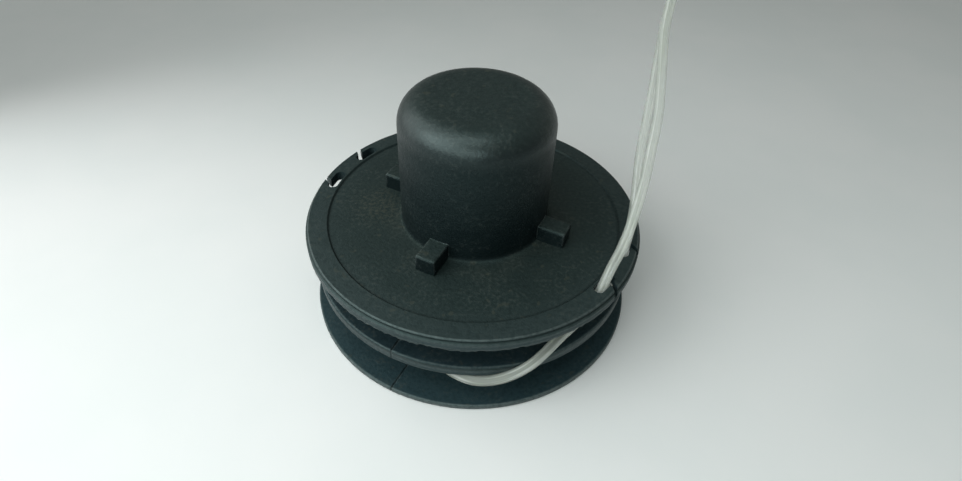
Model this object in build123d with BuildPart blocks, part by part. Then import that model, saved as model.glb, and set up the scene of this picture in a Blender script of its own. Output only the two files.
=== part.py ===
from build123d import *

import os
from math import atan2, cos, degrees, pi, radians, sin, tan

# Trimmer line spool: one moulded spool with a closed bump knob, two line grooves and hooked
# line slots, a line wound in each groove, and the free end of each line, which stands up
# through a slot. Millimetres, +Z up along the spool's axis, origin at the middle of the base.

# Flanges and grooves, stacked from the base up
flange_radius = 42.5
base_flange_thickness = 1.6
lower_groove_width = 9.8
divider_radius = 41.0
divider_thickness = 3.1
upper_groove_width = 9.35
top_web_thickness = 1.4

# Rim of the top flange: a raised border, a lip below and a bead round the outside
border_width = 5.3
border_step = 0.4
lip_depth = 0.85
lip_width = 5.6
bead_setback = 0.5
bead_shoulder = 0.35
bead_wall = 0.8

# Drum, hub and bump knob
hub_bore_radius = 16.5
hub_bore_depth = 30.5
drum_wall = 2.5
knob_wall = 2.05
knob_height = 33.0
knob_draft = 0.5
knob_top_fillet = 6.3
knob_foot_fillet = 0.7

# Index lugs round the foot of the knob
lug_count = 4
lug_first_angle = 64.4
lug_width = 5.0
lug_reach = 6.7
lug_height = 4.3
lug_edge_fillet = 0.3

# Line, hooked line slots and the anchor holes in the drum
line_diameter = 2.4
slot_clearance = 0.25
slot_mouth_width = 1.1
slot_angles = (143.3, 163.9)
slot_pair_turn = 177.5
slot_tab_width = 2.2
slot_hook_back = 2.0
slot_hook_forward = 2.4
anchor_clearance = 0.5
anchor_angle = 20.0

# Windings: turns across each groove, layers on the drum and room round them
lower_turns = 4
lower_layers = 4
upper_turns = 3
upper_layers = 5
winding_gap = 0.1
winding_side_gap = 0.05
turn_relief = 0.7

# Parting line of the side moulds, a fine groove in the plane of two of the lugs
seam_width = 0.35
seam_depth = 0.25
seam_reach = 15.0

# Edges of the flanges, the divider and the bore's mouth
base_edge_fillet = 0.35
divider_edge_fillet = 0.5
rim_edge_chamfer = 0.3
bore_lead_in = 0.6

# Routes of the free line ends: the first leaves the lower groove over the divider's rim, the second the upper one
strand_routes = {
    "line_strand_a": [
        (-21.2, -21.2, 6.6), (-17.1, -25.4, 6.8), (-12.7, -29.8, 7.3), (-8.2, -34.2, 8.2),
        (-3.7, -38.7, 9.3), (1.1, -41.3, 10.0), (5.7, -42.0, 11.2), (9.9, -41.4, 13.0),
        (13.9, -39.9, 15.0), (17.0, -37.3, 16.2), (19.9, -34.4, 17.3), (22.8, -31.8, 18.3),
        (25.8, -29.3, 19.3), (28.1, -27.0, 20.9), (29.5, -25.5, 23.7), (30.4, -24.4, 26.6),
        (31.5, -22.9, 29.4), (33.3, -20.7, 32.2), (35.2, -17.4, 36.1), (37.1, -12.9, 40.2),
        (38.7, -8.4, 43.6), (39.9, -3.9, 46.9), (41.2, 0.6, 49.9), (42.3, 4.9, 53.0),
        (42.9, 9.5, 56.0), (43.5, 14.2, 59.1), (44.0, 19.1, 62.3), (44.8, 24.1, 65.6),
        (46.2, 28.7, 68.7), (47.0, 31.0, 70.3),
    ],
    "line_strand_b": [
        (15.2, -28.7, 17.5), (20.8, -25.6, 17.6), (26.3, -22.8, 17.9), (30.9, -20.1, 18.3),
        (34.2, -17.4, 19.2), (36.0, -14.9, 20.7), (36.6, -13.3, 23.6), (36.9, -12.4, 26.8),
        (37.3, -11.5, 30.1), (38.0, -8.8, 34.3), (38.3, -5.7, 38.3), (38.6, -2.2, 41.8),
        (39.2, 1.4, 45.1), (40.3, 5.5, 48.4), (41.3, 9.6, 51.7), (42.4, 14.0, 55.0),
        (43.5, 18.5, 58.2), (44.5, 23.1, 61.5), (45.6, 27.8, 64.8), (47.1, 32.2, 67.9),
        (47.9, 34.6, 69.5),
    ],
}

# Heights and radii that follow from the driving sizes
divider_bottom = base_flange_thickness + lower_groove_width
divider_top = divider_bottom + divider_thickness
web_bottom = divider_top + upper_groove_width
face_height = web_bottom + top_web_thickness
rim_top = face_height + border_step
rim_bottom = web_bottom - lip_depth
bead_top = rim_top - bead_wall
knob_top = face_height + knob_height

drum_radius = hub_bore_radius + drum_wall
border_radius = flange_radius - border_width
setback_radius = flange_radius - bead_setback
knob_radius = hub_bore_radius + knob_wall
knob_top_radius = knob_radius - knob_height * tan(radians(knob_draft))
lug_radius = knob_radius + lug_reach
slot_width = line_diameter + slot_clearance
slot_radius = flange_radius - slot_tab_width - slot_width / 2
cut_margin = line_diameter


def polar(radius, angle):
    """Point at a radius and an angle in degrees round the axis."""
    return Vector(radius * cos(radians(angle)), radius * sin(radians(angle)))


def arc_angle(length, radius):
    """Angle in degrees that an arc of this length spans at this radius."""
    return degrees(length / radius)


# Centre lines of the hooked slots, in two pairs on opposite sides of the rim
hook_back = arc_angle(slot_hook_back, slot_radius)
hook_forward = arc_angle(slot_hook_forward, slot_radius)
mouth_angles = [angle + turn for turn in (0, slot_pair_turn) for angle in slot_angles]
pocket_arcs = [CenterArc((0, 0), slot_radius, a - hook_back, hook_back + hook_forward) for a in mouth_angles]

# Half section of the flanges, drum and hollow knob: radius, height and corner rounding
half_section = [
    (hub_bore_radius + bore_lead_in, 0, 0),
    (flange_radius, 0, base_edge_fillet),
    (flange_radius, base_flange_thickness, base_edge_fillet),
    (drum_radius, base_flange_thickness, 0),
    (drum_radius, divider_bottom, 0),
    (divider_radius, divider_bottom, divider_edge_fillet),
    (divider_radius, divider_top, divider_edge_fillet),
    (drum_radius, divider_top, 0),
    (drum_radius, web_bottom, 0),
    (flange_radius - lip_width, web_bottom, 0),
    (flange_radius - lip_width, rim_bottom, 0),
    (flange_radius, rim_bottom, 0),
    (flange_radius, bead_top - bead_shoulder, 0),
    (setback_radius, bead_top, 0),
    (setback_radius, rim_top - rim_edge_chamfer, 0),
    (setback_radius - rim_edge_chamfer, rim_top, 0),
    (border_radius, rim_top, 0),
    (border_radius - border_step, face_height, 0),
    (knob_radius, face_height, knob_foot_fillet),
    (knob_top_radius, knob_top, knob_top_fillet),
    (0, knob_top, 0),
    (0, knob_top - knob_wall, 0),
    (knob_top_radius - knob_wall, knob_top - knob_wall, knob_top_fillet - knob_wall),
    (hub_bore_radius, hub_bore_depth, 0),
    (hub_bore_radius, bore_lead_in, 0),
]

with BuildPart() as spool:
    # Index lugs with rounded outer faces, rooted in the knob's wall
    with BuildSketch(Plane.XY.offset(face_height)):
        lug_root = hub_bore_radius + knob_wall / 2
        with PolarLocations((lug_root + lug_radius) / 2, lug_count, start_angle=lug_first_angle):
            Rectangle(lug_radius - lug_root, lug_width)
        Circle(lug_radius, mode=Mode.INTERSECT)
    extrude(amount=lug_height)
    fillet(spool.edges().group_by(Axis.Z)[-1], lug_edge_fillet)

    # Flanges, drum and knob, turned about the axis
    with BuildSketch(Plane.XZ):
        with BuildLine():
            FilletPolyline(
                *[(radius, height) for radius, height, _ in half_section],
                radius=[rounding for _, _, rounding in half_section],
                close=True,
            )
        make_face()
    revolve(axis=Axis.Z)

    # Hooked line slots: a slanted mouth through the rim, then a pocket back along the rim
    with BuildSketch(Plane.XY.offset(rim_bottom - cut_margin)):
        for angle, pocket in zip(mouth_angles, pocket_arcs):
            SlotArc(pocket, slot_width)
            inner = polar(slot_radius, angle + hook_forward)
            mouth = polar(flange_radius, angle)
            reach = (mouth - inner).length + slot_mouth_width
            way_out = (mouth - inner).normalized()
            with Locations(inner + way_out * (reach / 2)):
                SlotCenterToCenter(reach, slot_mouth_width, rotation=degrees(atan2(way_out.Y, way_out.X)))
    extrude(amount=rim_top - rim_bottom + 2 * cut_margin, mode=Mode.SUBTRACT)

    # Anchor holes for the inner ends of the line, right across the drum in each groove
    groove_middles = ((base_flange_thickness + divider_bottom) / 2, (divider_top + web_bottom) / 2)
    with BuildSketch(Plane((0, 0, 0), x_dir=polar(1, anchor_angle + 90), z_dir=polar(1, anchor_angle))):
        with Locations(*[(0, middle) for middle in groove_middles]):
            Circle((line_diameter + anchor_clearance) / 2)
    extrude(amount=drum_radius + cut_margin, both=True, mode=Mode.SUBTRACT)

    # Parting line across the upper faces and rims of the divider and the base flange
    with BuildSketch(Plane((0, 0, 0), x_dir=polar(1, lug_first_angle), z_dir=polar(1, lug_first_angle - 90))):
        for radius, top, thickness in (
            (divider_radius, divider_top, divider_thickness),
            (flange_radius, base_flange_thickness, base_flange_thickness),
        ):
            with Locations((radius - seam_reach / 2, top - seam_depth / 2)):
                Rectangle(seam_reach, seam_depth)
            with Locations((radius - seam_depth / 2, top - thickness / 2)):
                Rectangle(seam_depth, thickness)
        mirror(about=Plane.YZ)
    extrude(amount=seam_width / 2, both=True, mode=Mode.SUBTRACT)

spool.part.label = "spool"

os.makedirs("parts", exist_ok=True)
export_step(spool.part, "parts/spool.step")

# Windings: one solid in each groove, whose outer turns show as ridges
windings = {
    "line_winding_lower": (base_flange_thickness, lower_groove_width, lower_turns, lower_layers),
    "line_winding_upper": (divider_top, upper_groove_width, upper_turns, upper_layers),
}
winding_inner = drum_radius + winding_gap
for name, (groove_bottom, groove_width, turns, layers) in windings.items():
    middle = groove_bottom + groove_width / 2
    width = groove_width - 2 * winding_side_gap
    winding_outer = winding_inner + layers * line_diameter
    body_outer = winding_outer - turn_relief
    with BuildPart() as winding:
        with BuildSketch(Plane.XZ):
            with Locations(((winding_inner + body_outer) / 2, middle)):
                Rectangle(body_outer - winding_inner, width)
            with Locations((winding_outer - line_diameter / 2, middle)):
                with GridLocations(0, width / turns, 1, turns):
                    Circle(line_diameter / 2)
        revolve(axis=Axis.Z)
    winding.part.label = name
    export_step(winding.part, f"parts/{name}.step")


def bend_radii(points):
    """Largest arc that the two runs at each corner of a route leave room for."""
    radii = []
    for before, corner, after in zip(points, points[1:], points[2:]):
        run_in = Vector(corner) - Vector(before)
        run_out = Vector(after) - Vector(corner)
        turn = radians(run_in.get_angle(run_out))
        radii.append(0.45 * min(run_in.length, run_out.length) / tan(turn / 2))
    return radii


# Free line ends: plain tubes along straight runs joined by tangent arcs
for name, points in strand_routes.items():
    radii = bend_radii(points)
    with BuildPart() as strand:
        with BuildLine() as route:
            FilletPolyline(*points, radius=radii)
        with BuildSketch(Plane(points[0], z_dir=route.line % 0)):
            Circle(line_diameter / 2)
        sweep()
    strand.part.label = name
    export_step(strand.part, f"parts/{name}.step")
    length = route.wire().length
    print(name, "length", round(length, 1), "volume", round(strand.part.volume, 2))
    print(name, "section times length", round(pi * line_diameter**2 / 4 * length, 2))
    print(name, "radii", [round(radius, 1) for radius in radii])
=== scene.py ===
from math import cos, pi, radians, sin

import bpy
from mathutils import Matrix, Vector, noise


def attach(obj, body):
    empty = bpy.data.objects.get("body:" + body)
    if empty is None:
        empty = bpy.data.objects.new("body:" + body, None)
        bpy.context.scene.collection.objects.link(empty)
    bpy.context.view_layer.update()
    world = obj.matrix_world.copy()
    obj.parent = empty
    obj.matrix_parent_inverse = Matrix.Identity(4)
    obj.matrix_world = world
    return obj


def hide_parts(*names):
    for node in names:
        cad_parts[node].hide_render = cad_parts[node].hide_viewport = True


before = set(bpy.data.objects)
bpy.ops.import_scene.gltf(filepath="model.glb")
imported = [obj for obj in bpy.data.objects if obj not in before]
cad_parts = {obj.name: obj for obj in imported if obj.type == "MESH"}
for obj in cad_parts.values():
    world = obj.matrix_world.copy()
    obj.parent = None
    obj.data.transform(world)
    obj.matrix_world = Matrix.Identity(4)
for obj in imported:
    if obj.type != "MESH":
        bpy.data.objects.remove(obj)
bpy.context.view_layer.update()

scene = bpy.context.scene
scene.view_settings.view_transform = "Standard"

# Camera at the photograph's angle, for an image of 962 by 481
IMAGE_WIDTH = 962
FOCAL_PIXELS = 592.28
SENSOR_WIDTH = 36.0
CAMERA_PLACE = (0.0, -0.117032, 0.124288)
CAMERA_PITCH, CAMERA_YAW, CAMERA_ROLL = 0.752, 0.018, 0.047


def make_camera():
    data = bpy.data.cameras.new("camera")
    data.sensor_width = SENSOR_WIDTH
    data.lens = SENSOR_WIDTH * FOCAL_PIXELS / IMAGE_WIDTH
    data.clip_start = 0.005
    camera = bpy.data.objects.new("camera", data)
    scene.collection.objects.link(camera)
    forward = Vector((
        sin(CAMERA_YAW) * cos(CAMERA_PITCH),
        cos(CAMERA_YAW) * cos(CAMERA_PITCH),
        -sin(CAMERA_PITCH),
    ))
    right = forward.cross(Vector((0, 0, 1))).normalized()
    up = right.cross(forward)
    axis_x = cos(CAMERA_ROLL) * right + sin(CAMERA_ROLL) * up
    axis_y = cos(CAMERA_ROLL) * up - sin(CAMERA_ROLL) * right
    turn = Matrix((axis_x, axis_y, -forward)).transposed()
    camera.matrix_world = Matrix.Translation(CAMERA_PLACE) @ turn.to_4x4()
    scene.camera = camera


make_camera()

# Line: one in each groove, wound on the drum from its inner end, then up through a slot in the rim
LINE_DIAMETER = 0.0024
INNER_TURN_RADIUS = 0.0203
POINTS_A_TURN = 24
# Shares of a turn: where the line starts to step across, where it starts to climb, and what each takes
STEP_FROM, CLIMB_FROM = 4 / 6, 5 / 6
STEP_SHARE = 1 / 6

ROUTE_A = [
    (-0.0212, -0.0212, 0.0066), (-0.0171, -0.0254, 0.0068), (-0.0127, -0.0298, 0.0073),
    (-0.0082, -0.0342, 0.0082), (-0.0037, -0.0387, 0.0093), (0.0011, -0.0413, 0.0100),
    (0.0057, -0.0418, 0.0112), (0.0099, -0.0414, 0.0130), (0.0139, -0.0399, 0.0150),
    (0.0170, -0.0373, 0.0162), (0.0199, -0.0344, 0.0173), (0.0228, -0.0318, 0.0183),
    (0.0258, -0.0293, 0.0193), (0.0281, -0.0270, 0.0209), (0.0295, -0.0255, 0.0237),
    (0.0304, -0.0244, 0.0266), (0.0315, -0.0229, 0.0294), (0.0333, -0.0207, 0.0322),
    (0.0352, -0.0174, 0.0361), (0.0371, -0.0129, 0.0402), (0.0387, -0.0084, 0.0436),
    (0.0399, -0.0039, 0.0469), (0.0412, 0.0006, 0.0499), (0.0423, 0.0049, 0.0530),
    (0.0429, 0.0095, 0.0560), (0.0435, 0.0142, 0.0591), (0.0440, 0.0191, 0.0623),
    (0.0448, 0.0241, 0.0656), (0.0462, 0.0287, 0.0687), (0.0469, 0.0308, 0.0701),
]
ROUTE_B = [
    (0.0152, -0.0287, 0.0175), (0.0208, -0.0256, 0.0176), (0.0263, -0.0228, 0.0179),
    (0.0309, -0.0201, 0.0183), (0.0342, -0.0174, 0.0192), (0.0360, -0.0149, 0.0207),
    (0.0366, -0.0133, 0.0236), (0.0369, -0.0124, 0.0268), (0.0373, -0.0115, 0.0301),
    (0.0380, -0.0088, 0.0343), (0.0383, -0.0057, 0.0383), (0.0386, -0.0022, 0.0418),
    (0.0392, 0.0014, 0.0451), (0.0403, 0.0055, 0.0484), (0.0413, 0.0096, 0.0517),
    (0.0424, 0.0140, 0.0550), (0.0435, 0.0185, 0.0582), (0.0445, 0.0231, 0.0615),
    (0.0456, 0.0278, 0.0648), (0.0471, 0.0322, 0.0679), (0.0478, 0.0344, 0.0694),
]
# Turns in each groove, the lowest one's height, their spacing and the angle at which the free end leaves
LOWER_GROOVE = {"turns": 14, "turns_a_layer": 4, "lowest": 0.0028625, "pitch": 0.002425, "leaving": -155.0}
UPPER_GROOVE = {"turns": 14, "turns_a_layer": 3, "lowest": 0.016092, "pitch": 0.0030833, "leaving": -82.0}


def smooth(x):
    x = min(max(x, 0.0), 1.0)
    return x * x * (3 - 2 * x)


def turn_place(turn, turns_a_layer):
    """Radius and place across the groove of one turn, laid to and fro in layers."""
    layer, step = divmod(turn, turns_a_layer)
    across = step if layer % 2 == 0 else turns_a_layer - 1 - step
    return INNER_TURN_RADIUS + layer * LINE_DIAMETER, across


def wound_points(groove):
    """Control points of a line's turns, from the drum outwards: each steps across, then climbs a layer."""
    points = []
    rise = 1 / cos(pi / POINTS_A_TURN)
    last = groove["turns"] - 1
    for i in range(groove["turns"] * POINTS_A_TURN + 1):
        turn, part = divmod(i, POINTS_A_TURN)
        part /= POINTS_A_TURN
        radius, across = turn_place(min(turn, last), groove["turns_a_layer"])
        next_radius, next_across = turn_place(min(turn + 1, last), groove["turns_a_layer"])
        across += (next_across - across) * smooth((part - STEP_FROM) / STEP_SHARE)
        radius += (next_radius - radius) * smooth((part - CLIMB_FROM) / STEP_SHARE)
        angle = radians(groove["leaving"]) + 2 * pi * part
        height = groove["lowest"] + across * groove["pitch"]
        points.append((rise * radius * cos(angle), rise * radius * sin(angle), height))
    return points


def make_line(name, groove, route, nodes):
    points = wound_points(groove) + route
    data = bpy.data.curves.new(name, "CURVE")
    data.dimensions = "3D"
    # Each point's own radius is the line's, so the bevel itself is a whole unit deep
    data.bevel_depth = 1.0
    data.bevel_resolution = 6
    data.resolution_u = 6
    data.use_fill_caps = True
    spline = data.splines.new("NURBS")
    spline.points.add(len(points) - 1)
    for point, place in zip(spline.points, points):
        point.co = (*place, 1.0)
        point.radius = LINE_DIAMETER / 2
    spline.order_u = 3
    spline.use_endpoint_u = True
    line = bpy.data.objects.new(name, data)
    scene.collection.objects.link(line)
    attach(line, "root")
    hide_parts(*nodes)
    return line


line_a = make_line("line_a", LOWER_GROOVE, ROUTE_A, ["line_strand_a", "line_winding_lower"])
line_b = make_line("line_b", UPPER_GROOVE, ROUTE_B, ["line_strand_b", "line_winding_upper"])

# Ragged moulding flash that hangs from the lower edge of the top rim, between two angles in degrees
FLASH_FROM, FLASH_TO, FLASH_STEPS = -172, -38, 402
FLASH_INNER, FLASH_OUTER, FLASH_TAPER = 0.04215, 0.04246, 0.0001
FLASH_ROOT = 0.0231
RIM_BOTTOM = 0.0230
FLASH_LEAST = 0.00005
FLASH_WAVES = {"a_radian": 7.0, "row": 0.3, "depth": 0.00030, "middle": 0.5, "gain": 1.2}
FLASH_TEETH = {"a_radian": 34.0, "row": 4.1, "depth": 0.00030, "middle": 0.4, "gain": 1.4}


def ripple(angle, kind):
    level = noise.noise(Vector((angle * kind["a_radian"], kind["row"], 0.0)))
    return kind["depth"] * smooth(kind["middle"] + kind["gain"] * level)


def flash_depth(angle):
    """How far the flash hangs down: short ragged teeth on longer waves."""
    return FLASH_LEAST + ripple(angle, FLASH_WAVES) + ripple(angle, FLASH_TEETH)


def make_flash():
    vertices, faces = [], []
    for i in range(FLASH_STEPS + 1):
        angle = radians(FLASH_FROM + (FLASH_TO - FLASH_FROM) * i / FLASH_STEPS)
        low = RIM_BOTTOM - flash_depth(angle)
        section = [
            (FLASH_INNER, FLASH_ROOT),
            (FLASH_OUTER, FLASH_ROOT),
            (FLASH_OUTER, low),
            (FLASH_INNER + FLASH_TAPER, low),
        ]
        vertices += [(radius * cos(angle), radius * sin(angle), height) for radius, height in section]
        if i:
            last, now = 4 * i - 4, 4 * i
            faces += [(last + k, last + (k + 1) % 4, now + (k + 1) % 4, now + k) for k in range(4)]
    faces += [(3, 2, 1, 0), tuple(4 * FLASH_STEPS + k for k in range(4))]
    data = bpy.data.meshes.new("rim_flash")
    data.from_pydata(vertices, [], faces)
    flash = bpy.data.objects.new("rim_flash", data)
    scene.collection.objects.link(flash)
    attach(flash, "root")
    return flash


rim_flash = make_flash()


# Node helpers
def add_node(tree, kind, inputs, **settings):
    """A node with its settings and inputs, by name or number: sockets are linked, plain values are set."""
    made = tree.nodes.new(kind)
    for name, value in settings.items():
        setattr(made, name, value)
    for socket, value in inputs.items():
        if isinstance(value, bpy.types.NodeSocket):
            tree.links.new(value, made.inputs[socket])
        else:
            made.inputs[socket].default_value = value
    return made


def maths(tree, operation, *values):
    return add_node(tree, "ShaderNodeMath", dict(enumerate(values)), operation=operation).outputs[0]


def times(tree, *values):
    """Product of two or more values."""
    product = values[0]
    for value in values[1:]:
        product = maths(tree, "MULTIPLY", product, value)
    return product


def vector_maths(tree, operation, first, second, output):
    inputs = {0: first, 1: second}
    return add_node(tree, "ShaderNodeVectorMath", inputs, operation=operation).outputs[output]


def parts_of(tree, vector):
    return add_node(tree, "ShaderNodeSeparateXYZ", {0: vector}).outputs


def noise_at(tree, place, scale, detail, roughness):
    settings = {"Vector": place, "Scale": scale, "Detail": detail, "Roughness": roughness}
    return add_node(tree, "ShaderNodeTexNoise", settings).outputs[0]


def eased(tree, value, low, high, to_low=0.0, to_high=1.0):
    """A value between low and high, eased over to_low to to_high and held beyond them."""
    ends = {"Value": value, "From Min": low, "From Max": high, "To Min": to_low, "To Max": to_high}
    return add_node(tree, "ShaderNodeMapRange", ends, interpolation_type="SMOOTHSTEP").outputs[0]


def mix_colours(tree, share, first, second):
    return add_node(tree, "ShaderNodeMix", {0: share, 6: first, 7: second}, data_type="RGBA").outputs[2]


def mix_normals(tree, share, first, second):
    return add_node(tree, "ShaderNodeMix", {0: share, 4: first, 5: second}, data_type="VECTOR").outputs[1]


def surface_normal(tree):
    return tree.nodes.new("ShaderNodeNewGeometry").outputs["Normal"]


def new_group(name, inputs, outputs):
    """An empty shader group with named sockets, with its inputs and outputs by name."""
    tree = bpy.data.node_groups.new(name, "ShaderNodeTree")
    for socket, kind in inputs.items():
        tree.interface.new_socket(name=socket, in_out="INPUT", socket_type=kind)
    for socket, kind in outputs.items():
        tree.interface.new_socket(name=socket, in_out="OUTPUT", socket_type=kind)
    return tree, tree.nodes.new("NodeGroupInput").outputs, tree.nodes.new("NodeGroupOutput").inputs


def place_group(tree, group, place, values):
    """A group set at a place on the surface, with its own values."""
    return add_node(tree, "ShaderNodeGroup", {"Place": place, **values}, node_tree=group).outputs


NUMBER, VECTOR = "NodeSocketFloat", "NodeSocketVector"


def make_grain_group():
    """Fine surface grain, broad mottling and sparse specks, at sizes given in metres."""
    tree, given, out = new_group(
        "surface_grain",
        {"Place": VECTOR, "Grain Size": NUMBER, "Mottle Size": NUMBER, "Speck Size": NUMBER},
        {"Grain": NUMBER, "Mottle": NUMBER, "Specks": NUMBER},
    )
    grain = noise_at(tree, given["Place"], maths(tree, "DIVIDE", 1.0, given["Grain Size"]), 3.0, 0.6)
    mottle = noise_at(tree, given["Place"], maths(tree, "DIVIDE", 1.0, given["Mottle Size"]), 3.0, 0.55)
    speck = noise_at(tree, given["Place"], maths(tree, "DIVIDE", 1.0, given["Speck Size"]), 1.0, 0.5)
    tree.links.new(grain, out["Grain"])
    tree.links.new(eased(tree, mottle, 0.35, 0.65), out["Mottle"])
    tree.links.new(eased(tree, speck, 0.68, 0.76), out["Specks"])
    return tree


def make_edge_group():
    """Edges rounded over a small width, and a broken mask of the wear along them."""
    tree, given, out = new_group(
        "worn_edges",
        {"Place": VECTOR, "Width": NUMBER, "Break Size": NUMBER},
        {"Wear": NUMBER, "Rounded Normal": VECTOR},
    )
    rounded = add_node(tree, "ShaderNodeBevel", {"Radius": given["Width"]}, samples=6).outputs[0]
    lean = vector_maths(tree, "DOT_PRODUCT", rounded, surface_normal(tree), "Value")
    edge = eased(tree, lean, 0.99, 0.8)
    breaks = noise_at(tree, given["Place"], maths(tree, "DIVIDE", 1.0, given["Break Size"]), 3.0, 0.6)
    tree.links.new(times(tree, edge, eased(tree, breaks, 0.3, 0.62)), out["Wear"])
    tree.links.new(rounded, out["Rounded Normal"])
    return tree


def make_ring_group():
    """Mask of a soft ring round the axis, at a radius and a height in metres. At no radius it is a ball."""
    tree, given, out = new_group(
        "ring_mark",
        {"Place": VECTOR, "Radius": NUMBER, "Height": NUMBER, "Width": NUMBER},
        {"Mask": NUMBER},
    )
    place = parts_of(tree, given["Place"])
    squares = [maths(tree, "POWER", place[k], 2.0) for k in (0, 1)]
    reach = maths(tree, "SQRT", maths(tree, "ADD", *squares))
    side = maths(tree, "POWER", maths(tree, "SUBTRACT", reach, given["Radius"]), 2.0)
    rise = maths(tree, "POWER", maths(tree, "SUBTRACT", place[2], given["Height"]), 2.0)
    away = maths(tree, "SQRT", maths(tree, "ADD", side, rise))
    tree.links.new(eased(tree, away, given["Width"], 0.0), out["Mask"])
    return tree


surface_grain = make_grain_group()
worn_edges = make_edge_group()
ring_mark = make_ring_group()


def new_material(name):
    material = bpy.data.materials.new(name)
    material.use_nodes = True
    tree = material.node_tree
    place = tree.nodes.new("ShaderNodeTexCoord").outputs["Object"]
    return material, tree, tree.nodes["Principled BSDF"], place


# Moulded plastic, near black where it faces up, coloured with painted light and shade: painted bluish bounce
# light in the grooves, painted shade darkest on the knob's wall, painted light on the outer rims and on the
# top flange's outer band
FACE_HEIGHT = 0.02525
PLASTIC_TOP = (0.0140, 0.0222, 0.0212, 1)
PLASTIC_BAND_PAINTED_LIGHT = (0.0220, 0.0325, 0.0325, 1)
PLASTIC_GROOVE_PAINTED_BOUNCE_LIGHT = (0.0175, 0.0355, 0.0420, 1)
PLASTIC_DIVIDER_PAINTED_BOUNCE_LIGHT = (0.0125, 0.0245, 0.0300, 1)
PLASTIC_WALL_PAINTED_SHADE = (0.0016, 0.0042, 0.0052, 1)
PLASTIC_RIM_PAINTED_LIGHT = (0.0130, 0.0235, 0.0265, 1)
# Colour of the pits, also used for the painted shade lines in the creases
PLASTIC_PIT_AND_PAINTED_SHADE = (0.0040, 0.0075, 0.0070, 1)
PLASTIC_PALE = (0.0420, 0.0500, 0.0460, 1)
# Colour of wear, also used for the painted highlights along the rims
PLASTIC_WEAR_AND_PAINTED_HIGHLIGHT = (0.0900, 0.1080, 0.1050, 1)
PLASTIC_DUST = (0.0560, 0.0570, 0.0410, 1)

# Where one colour gives way to the next: heights on level faces, reaches from the axis on upright ones
DIVIDER_HEIGHTS = (0.004, 0.012)
TOP_HEIGHTS = (0.0225, 0.0245)
RIM_REACHES = (0.034, 0.036)

# Grain, bump, edges and soft rings, with their sizes in metres
PLASTIC_GRAIN = {"Grain Size": 0.0009, "Mottle Size": 0.009, "Speck Size": 0.0022}
PLASTIC_BUMP = {"Strength": 0.9, "Distance": 0.00015}
SHARP_EDGES = {"Width": 0.0004, "Break Size": 0.003}
LUG_EDGES = {"Width": 0.0012, "Break Size": 0.004}
FOOT_RING = {"Radius": 0.021, "Height": FACE_HEIGHT, "Width": 0.010}
FOOT_CREASE = {"Radius": 0.0189, "Height": 0.0256, "Width": 0.0014}
# Ring of painted light on the top flange's outer band
PAINTED_LIGHT_BAND_RING = {"Radius": 0.0410, "Height": 0.0257, "Width": 0.0100}
RUBBED_RING = {"Radius": 0.0165, "Height": 0.0562, "Width": 0.0068}
# Dustiest place, beside the knob's foot: its middle and its size
DUST_MIDDLE = (-0.0235, 0.0010, FACE_HEIGHT)
DUST_BALL = {"Radius": 0.0, "Height": 0.0, "Width": 0.011}

# Ends between which a mark comes in: of a normal's rise, of the grain, or in metres
LEVEL_RISE = (0.2, 0.9)
PIT_GRAIN = (0.5, 0.36)
PALE_GRAIN = (0.5, 0.66)
WEAR_AND_HIGHLIGHT_GRAIN = (0.3, 0.6)
GRIT_GRAIN = (0.42, 0.62)
FACE_EDGE = (0.0005, 0.0010)
LUG_INSIDE, LUG_OUTSIDE = (0.0190, 0.0198), (0.0275, 0.0265)
LUG_ROOT = (FACE_HEIGHT + 0.0008, FACE_HEIGHT + 0.0020)

# Strength of each mark
PALE_MOTTLE = (0.08, 0.52)
PALE_UPRIGHT, PALE_LEVEL = 0.45, 1.0
WEAR_AND_HIGHLIGHT_SHARES = (0.35, 0.85)
PIT_SHARE = 0.30
LUG_WEAR = 0.80
FOOT_DUST, PATCH_DUST, SPECK_DUST = 0.10, 0.50, 0.30
RUBBED_GLOSS, RUBBED_COAT = 0.17, 0.45
CREASE_DULLNESS = 0.40
PLASTIC_ROUGHNESS = (0.46, 0.54)
COAT_ROUGHNESS = 0.40
PLASTIC_SPECULAR = 0.34
PLASTIC_TINT = (0.70, 1.0, 0.98, 1)

# Lines round the rims, painted highlights along their edges and painted shade in the creases: radius,
# height, width and strength
PAINTED_HIGHLIGHT_LINES = [
    (0.0419, 0.02560, 0.00042, 0.95),
    (0.0424, 0.02430, 0.00060, 0.30),
    (0.0408, 0.01440, 0.00035, 0.60),
    (0.0410, 0.01300, 0.00055, 0.30),
    (0.0424, 0.00145, 0.00050, 0.95),
    (0.0425, 0.00080, 0.00100, 0.80),
]
# Painted shade: dark lines in the creases round the rims
PAINTED_SHADE_LINES = [
    (0.0369, 0.02540, 0.00070, 0.60),
    (0.0420, 0.02495, 0.00042, 0.95),
    (0.0410, 0.01375, 0.00040, 0.80),
]


def ring_lines(tree, place, lines):
    """Strongest of several rings round the axis."""
    total = 0.0
    for radius, height, width, strength in lines:
        ring = place_group(tree, ring_mark, place, {"Radius": radius, "Height": height, "Width": width})
        total = maths(tree, "MAXIMUM", total, times(tree, ring["Mask"], strength))
    return total


def lug_mask(tree, reach, height):
    """One on the index lugs, above their roots."""
    across = times(tree, eased(tree, reach, *LUG_INSIDE), eased(tree, reach, *LUG_OUTSIDE))
    return times(tree, across, eased(tree, height, *LUG_ROOT))


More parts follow.
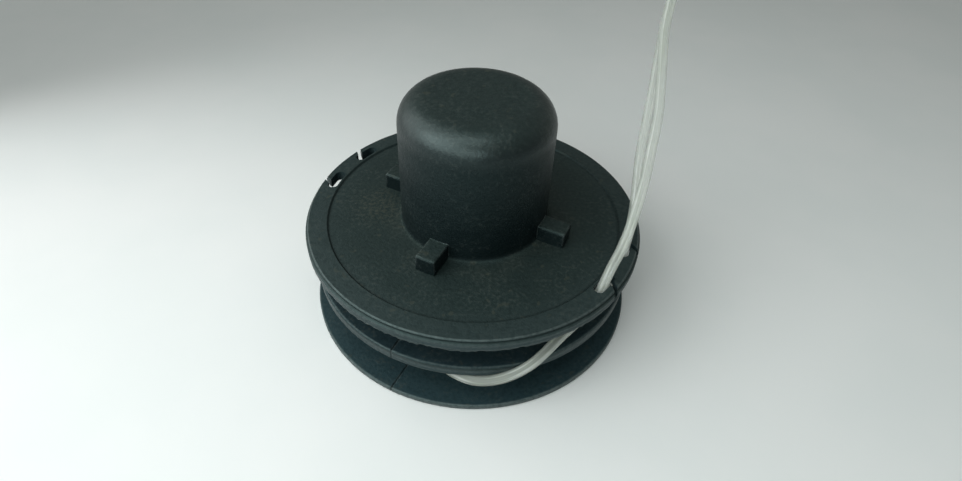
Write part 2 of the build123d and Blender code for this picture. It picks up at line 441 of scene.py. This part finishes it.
def plastic_colour(tree, place, reach, height, upward, grain, wear_and_painted_highlight):
    """Colour of the moulding: painted light and shade by where it lies and faces, then pits, pale grain,
    painted shade in the creases, wear with painted highlights, and dust.
    """
    # Painted light: a lighter outer band on the top flange
    painted_light_band = place_group(tree, ring_mark, place, PAINTED_LIGHT_BAND_RING)["Mask"]
    # Painted shade on upright faces near the axis, darkest on the knob's wall, and painted light on the
    # outer rims
    upright_painted_shading = mix_colours(tree, eased(tree, reach, *RIM_REACHES), PLASTIC_WALL_PAINTED_SHADE, PLASTIC_RIM_PAINTED_LIGHT)
    # Painted bluish bounce light on the level faces in the grooves
    level = mix_colours(tree, eased(tree, height, *DIVIDER_HEIGHTS), PLASTIC_GROOVE_PAINTED_BOUNCE_LIGHT, PLASTIC_DIVIDER_PAINTED_BOUNCE_LIGHT)
    level = mix_colours(tree, eased(tree, height, *TOP_HEIGHTS), level, PLASTIC_TOP)
    level = mix_colours(tree, painted_light_band, level, PLASTIC_BAND_PAINTED_LIGHT)
    colour = mix_colours(tree, upward, upright_painted_shading, level)

    pits = eased(tree, grain["Grain"], *PIT_GRAIN)
    colour = mix_colours(tree, times(tree, pits, PIT_SHARE), colour, PLASTIC_PIT_AND_PAINTED_SHADE)
    pale = times(
        tree,
        eased(tree, grain["Grain"], *PALE_GRAIN),
        eased(tree, grain["Mottle"], 0.0, 1.0, *PALE_MOTTLE),
        eased(tree, upward, 0.0, 1.0, PALE_UPRIGHT, PALE_LEVEL),
    )
    colour = mix_colours(tree, pale, colour, PLASTIC_PALE)
    # Painted shade in the creases round the rims
    colour = mix_colours(tree, ring_lines(tree, place, PAINTED_SHADE_LINES), colour, PLASTIC_PIT_AND_PAINTED_SHADE)
    # Wear and painted highlights along the rims, broken by the grain
    broken_wear_and_highlight = times(tree, wear_and_painted_highlight, eased(tree, grain["Grain"], *WEAR_AND_HIGHLIGHT_GRAIN, *WEAR_AND_HIGHLIGHT_SHARES))
    colour = mix_colours(tree, broken_wear_and_highlight, colour, PLASTIC_WEAR_AND_PAINTED_HIGHLIGHT)

    foot = place_group(tree, ring_mark, place, FOOT_RING)["Mask"]
    from_middle = vector_maths(tree, "SUBTRACT", place, DUST_MIDDLE, 0)
    patch = place_group(tree, ring_mark, from_middle, DUST_BALL)["Mask"]
    dust = times(tree, foot, grain["Mottle"], FOOT_DUST)
    grit = times(tree, patch, eased(tree, grain["Grain"], *GRIT_GRAIN, 0.0, PATCH_DUST))
    dust = maths(tree, "ADD", dust, grit)
    dust = maths(tree, "ADD", dust, times(tree, grain["Specks"], SPECK_DUST))
    return mix_colours(tree, times(tree, dust, upward), colour, PLASTIC_DUST)


def make_plastic():
    material, tree, shader, place = new_material("moulded_plastic")
    grain = place_group(tree, surface_grain, place, PLASTIC_GRAIN)
    edges = place_group(tree, worn_edges, place, SHARP_EDGES)
    lug_edges = place_group(tree, worn_edges, place, LUG_EDGES)
    normal = surface_normal(tree)
    upward = eased(tree, parts_of(tree, normal)[2], *LEVEL_RISE)
    height = parts_of(tree, place)[2]
    level_place = vector_maths(tree, "MULTIPLY", place, (1, 1, 0), 0)
    reach = add_node(tree, "ShaderNodeVectorMath", {0: level_place}, operation="LENGTH").outputs["Value"]

    # Edges are worn and soft, apart from those at the level of the top face
    off_face = maths(tree, "ABSOLUTE", maths(tree, "SUBTRACT", height, FACE_HEIGHT))
    off_face = eased(tree, off_face, *FACE_EDGE)
    on_lug = lug_mask(tree, reach, height)
    wear_and_painted_highlight = times(tree, edges["Wear"], off_face)
    wear_and_painted_highlight = maths(tree, "MAXIMUM", wear_and_painted_highlight, times(tree, on_lug, lug_edges["Wear"], LUG_WEAR))
    # Painted highlights along the rims' edges join the wear
    wear_and_painted_highlight = maths(tree, "MAXIMUM", wear_and_painted_highlight, ring_lines(tree, place, PAINTED_HIGHLIGHT_LINES))
    softened = mix_normals(tree, off_face, normal, edges["Rounded Normal"])
    softened = mix_normals(tree, on_lug, softened, lug_edges["Rounded Normal"])
    bump = add_node(
        tree, "ShaderNodeBump", {**PLASTIC_BUMP, "Height": grain["Grain"], "Normal": softened},
    )
    tree.links.new(bump.outputs[0], shader.inputs["Normal"])
    colour = plastic_colour(tree, place, reach, height, upward, grain, wear_and_painted_highlight)
    tree.links.new(colour, shader.inputs["Base Color"])

    # The knob's shoulder is rubbed glossy, and the crease at its foot is dull
    rubbed = place_group(tree, ring_mark, place, RUBBED_RING)["Mask"]
    crease = place_group(tree, ring_mark, place, FOOT_CREASE)["Mask"]
    dull = eased(tree, grain["Mottle"], 0.0, 1.0, *PLASTIC_ROUGHNESS)
    dull = maths(tree, "SUBTRACT", dull, times(tree, rubbed, RUBBED_GLOSS))
    dull = maths(tree, "ADD", dull, times(tree, crease, CREASE_DULLNESS))
    tree.links.new(dull, shader.inputs["Roughness"])
    tree.links.new(times(tree, rubbed, RUBBED_COAT), shader.inputs["Coat Weight"])
    shader.inputs["Coat Roughness"].default_value = COAT_ROUGHNESS
    shader.inputs["Specular IOR Level"].default_value = PLASTIC_SPECULAR
    shader.inputs["Specular Tint"].default_value = PLASTIC_TINT
    return material


# Cloudy clear nylon
NYLON_GRAIN = {"Grain Size": 0.0009, "Mottle Size": 0.006, "Speck Size": 0.003}
NYLON_BUMP = {"Strength": 0.1, "Distance": 0.0001}
NYLON_CLOUDS = ((0.66, 0.69, 0.64, 1), (0.76, 0.78, 0.73, 1))
NYLON_STREAK = (0.52, 0.55, 0.49, 1)
NYLON_ROUGHNESS = (0.16, 0.28)
NYLON_ALPHA = (0.32, 0.46)
STREAK_SCALE = 1.5
STREAK_ENDS, GRAIN_ENDS = (0.36, 0.62), (0.3, 0.7)
NYLON_IOR = 1.53
NYLON_SCATTER = {"Weight": 0.6, "Radius": (1.0, 1.0, 0.9), "Scale": 0.002}


def make_nylon():
    """Nylon with drawn streaks that keep their place round the line and so run along it."""
    material, tree, shader, place = new_material("clear_nylon")
    grain = place_group(tree, surface_grain, place, NYLON_GRAIN)
    streaks = noise_at(tree, surface_normal(tree), STREAK_SCALE, 1.0, 0.5)
    streaks = eased(tree, streaks, *STREAK_ENDS)
    cloud = mix_colours(tree, grain["Mottle"], *NYLON_CLOUDS)
    tree.links.new(mix_colours(tree, streaks, NYLON_STREAK, cloud), shader.inputs["Base Color"])
    dull = eased(tree, grain["Grain"], *GRAIN_ENDS, *NYLON_ROUGHNESS)
    tree.links.new(dull, shader.inputs["Roughness"])
    tree.links.new(eased(tree, streaks, 0.0, 1.0, *NYLON_ALPHA), shader.inputs["Alpha"])
    bump = add_node(tree, "ShaderNodeBump", {**NYLON_BUMP, "Height": grain["Grain"]})
    tree.links.new(bump.outputs[0], shader.inputs["Normal"])
    shader.inputs["IOR"].default_value = NYLON_IOR
    for name, value in NYLON_SCATTER.items():
        shader.inputs["Subsurface " + name].default_value = value
    return material


def dress(obj, material):
    obj.data.materials.clear()
    obj.data.materials.append(material)


plastic = make_plastic()
nylon = make_nylon()
for piece in (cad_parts["spool"], rim_flash):
    dress(piece, plastic)
for line in (line_a, line_b):
    dress(line, nylon)

# Pale floor
FLOOR_REACH = 1.5
FLOOR_HEIGHT = -0.0001
FLOOR_GRAIN = {"Grain Size": 0.004, "Mottle Size": 0.06, "Speck Size": 0.02}
FLOOR_COLOURS = ((0.83, 0.845, 0.835, 1), (0.86, 0.865, 0.855, 1))
FLOOR_ROUGHNESS = 0.6


def make_floor_material():
    material, tree, shader, place = new_material("pale_floor")
    grain = place_group(tree, surface_grain, place, FLOOR_GRAIN)
    tree.links.new(mix_colours(tree, grain["Mottle"], *FLOOR_COLOURS), shader.inputs["Base Color"])
    shader.inputs["Roughness"].default_value = FLOOR_ROUGHNESS
    return material


def make_floor():
    data = bpy.data.meshes.new("floor")
    corners = [(-1, -1), (1, -1), (1, 1), (-1, 1)]
    places = [(FLOOR_REACH * x, FLOOR_REACH * y, FLOOR_HEIGHT) for x, y in corners]
    data.from_pydata(places, [], [(0, 1, 2, 3)])
    floor = bpy.data.objects.new("floor", data)
    scene.collection.objects.link(floor)
    dress(floor, make_floor_material())


make_floor()

# Soft lights: name, place, target, width and depth, angle of spread, watts and colour
LIGHTS = [
    ("window", (-0.177, -0.186, 0.218), (0.30, -0.02, 0.03), (0.36, 0.30), 2.17, 0.39, (0.92, 1.0, 1.0)),
    ("left_card", (-0.211, -0.054, 0.157), (-0.062, -0.19, 0.03), (0.36, 0.36), 2.8, 0.32, (0.98, 1.0, 1.0)),
    ("front_card", (-0.12, -1.0, 0.45), (0.0, 0.0, 0.05), (0.6, 0.35), pi, 2.5, (0.90, 1.0, 1.0)),
    ("corner_card", (-0.55, 0.30, 0.50), (-0.47, 0.26, 0.0), (0.3, 0.3), 1.6, 0.10, (0.96, 1.0, 1.0)),
    ("ceiling", (-0.05, -0.15, 0.55), (-0.05, -0.05, 0.0), (0.30, 0.30), pi, 0.55, (0.92, 1.0, 0.99)),
]
WORLD_COLOUR = (0.95, 1.0, 0.95, 1)
WORLD_STRENGTH = 0.20


def make_light(name, place, target, size, spread, power, colour):
    data = bpy.data.lights.new(name, "AREA")
    data.shape = "ELLIPSE"
    data.size, data.size_y = size
    data.spread = spread
    data.energy = power
    data.color = colour
    light = bpy.data.objects.new(name, data)
    scene.collection.objects.link(light)
    light.location = place
    light.rotation_mode = "QUATERNION"
    light.rotation_quaternion = (Vector(target) - Vector(place)).to_track_quat("-Z", "Y")


def make_world():
    world = bpy.data.worlds.new("studio")
    scene.world = world
    world.use_nodes = True
    background = world.node_tree.nodes["Background"]
    background.inputs["Color"].default_value = WORLD_COLOUR
    background.inputs["Strength"].default_value = WORLD_STRENGTH


for light in LIGHTS:
    make_light(*light)
make_world()

bpy.context.view_layer.update()
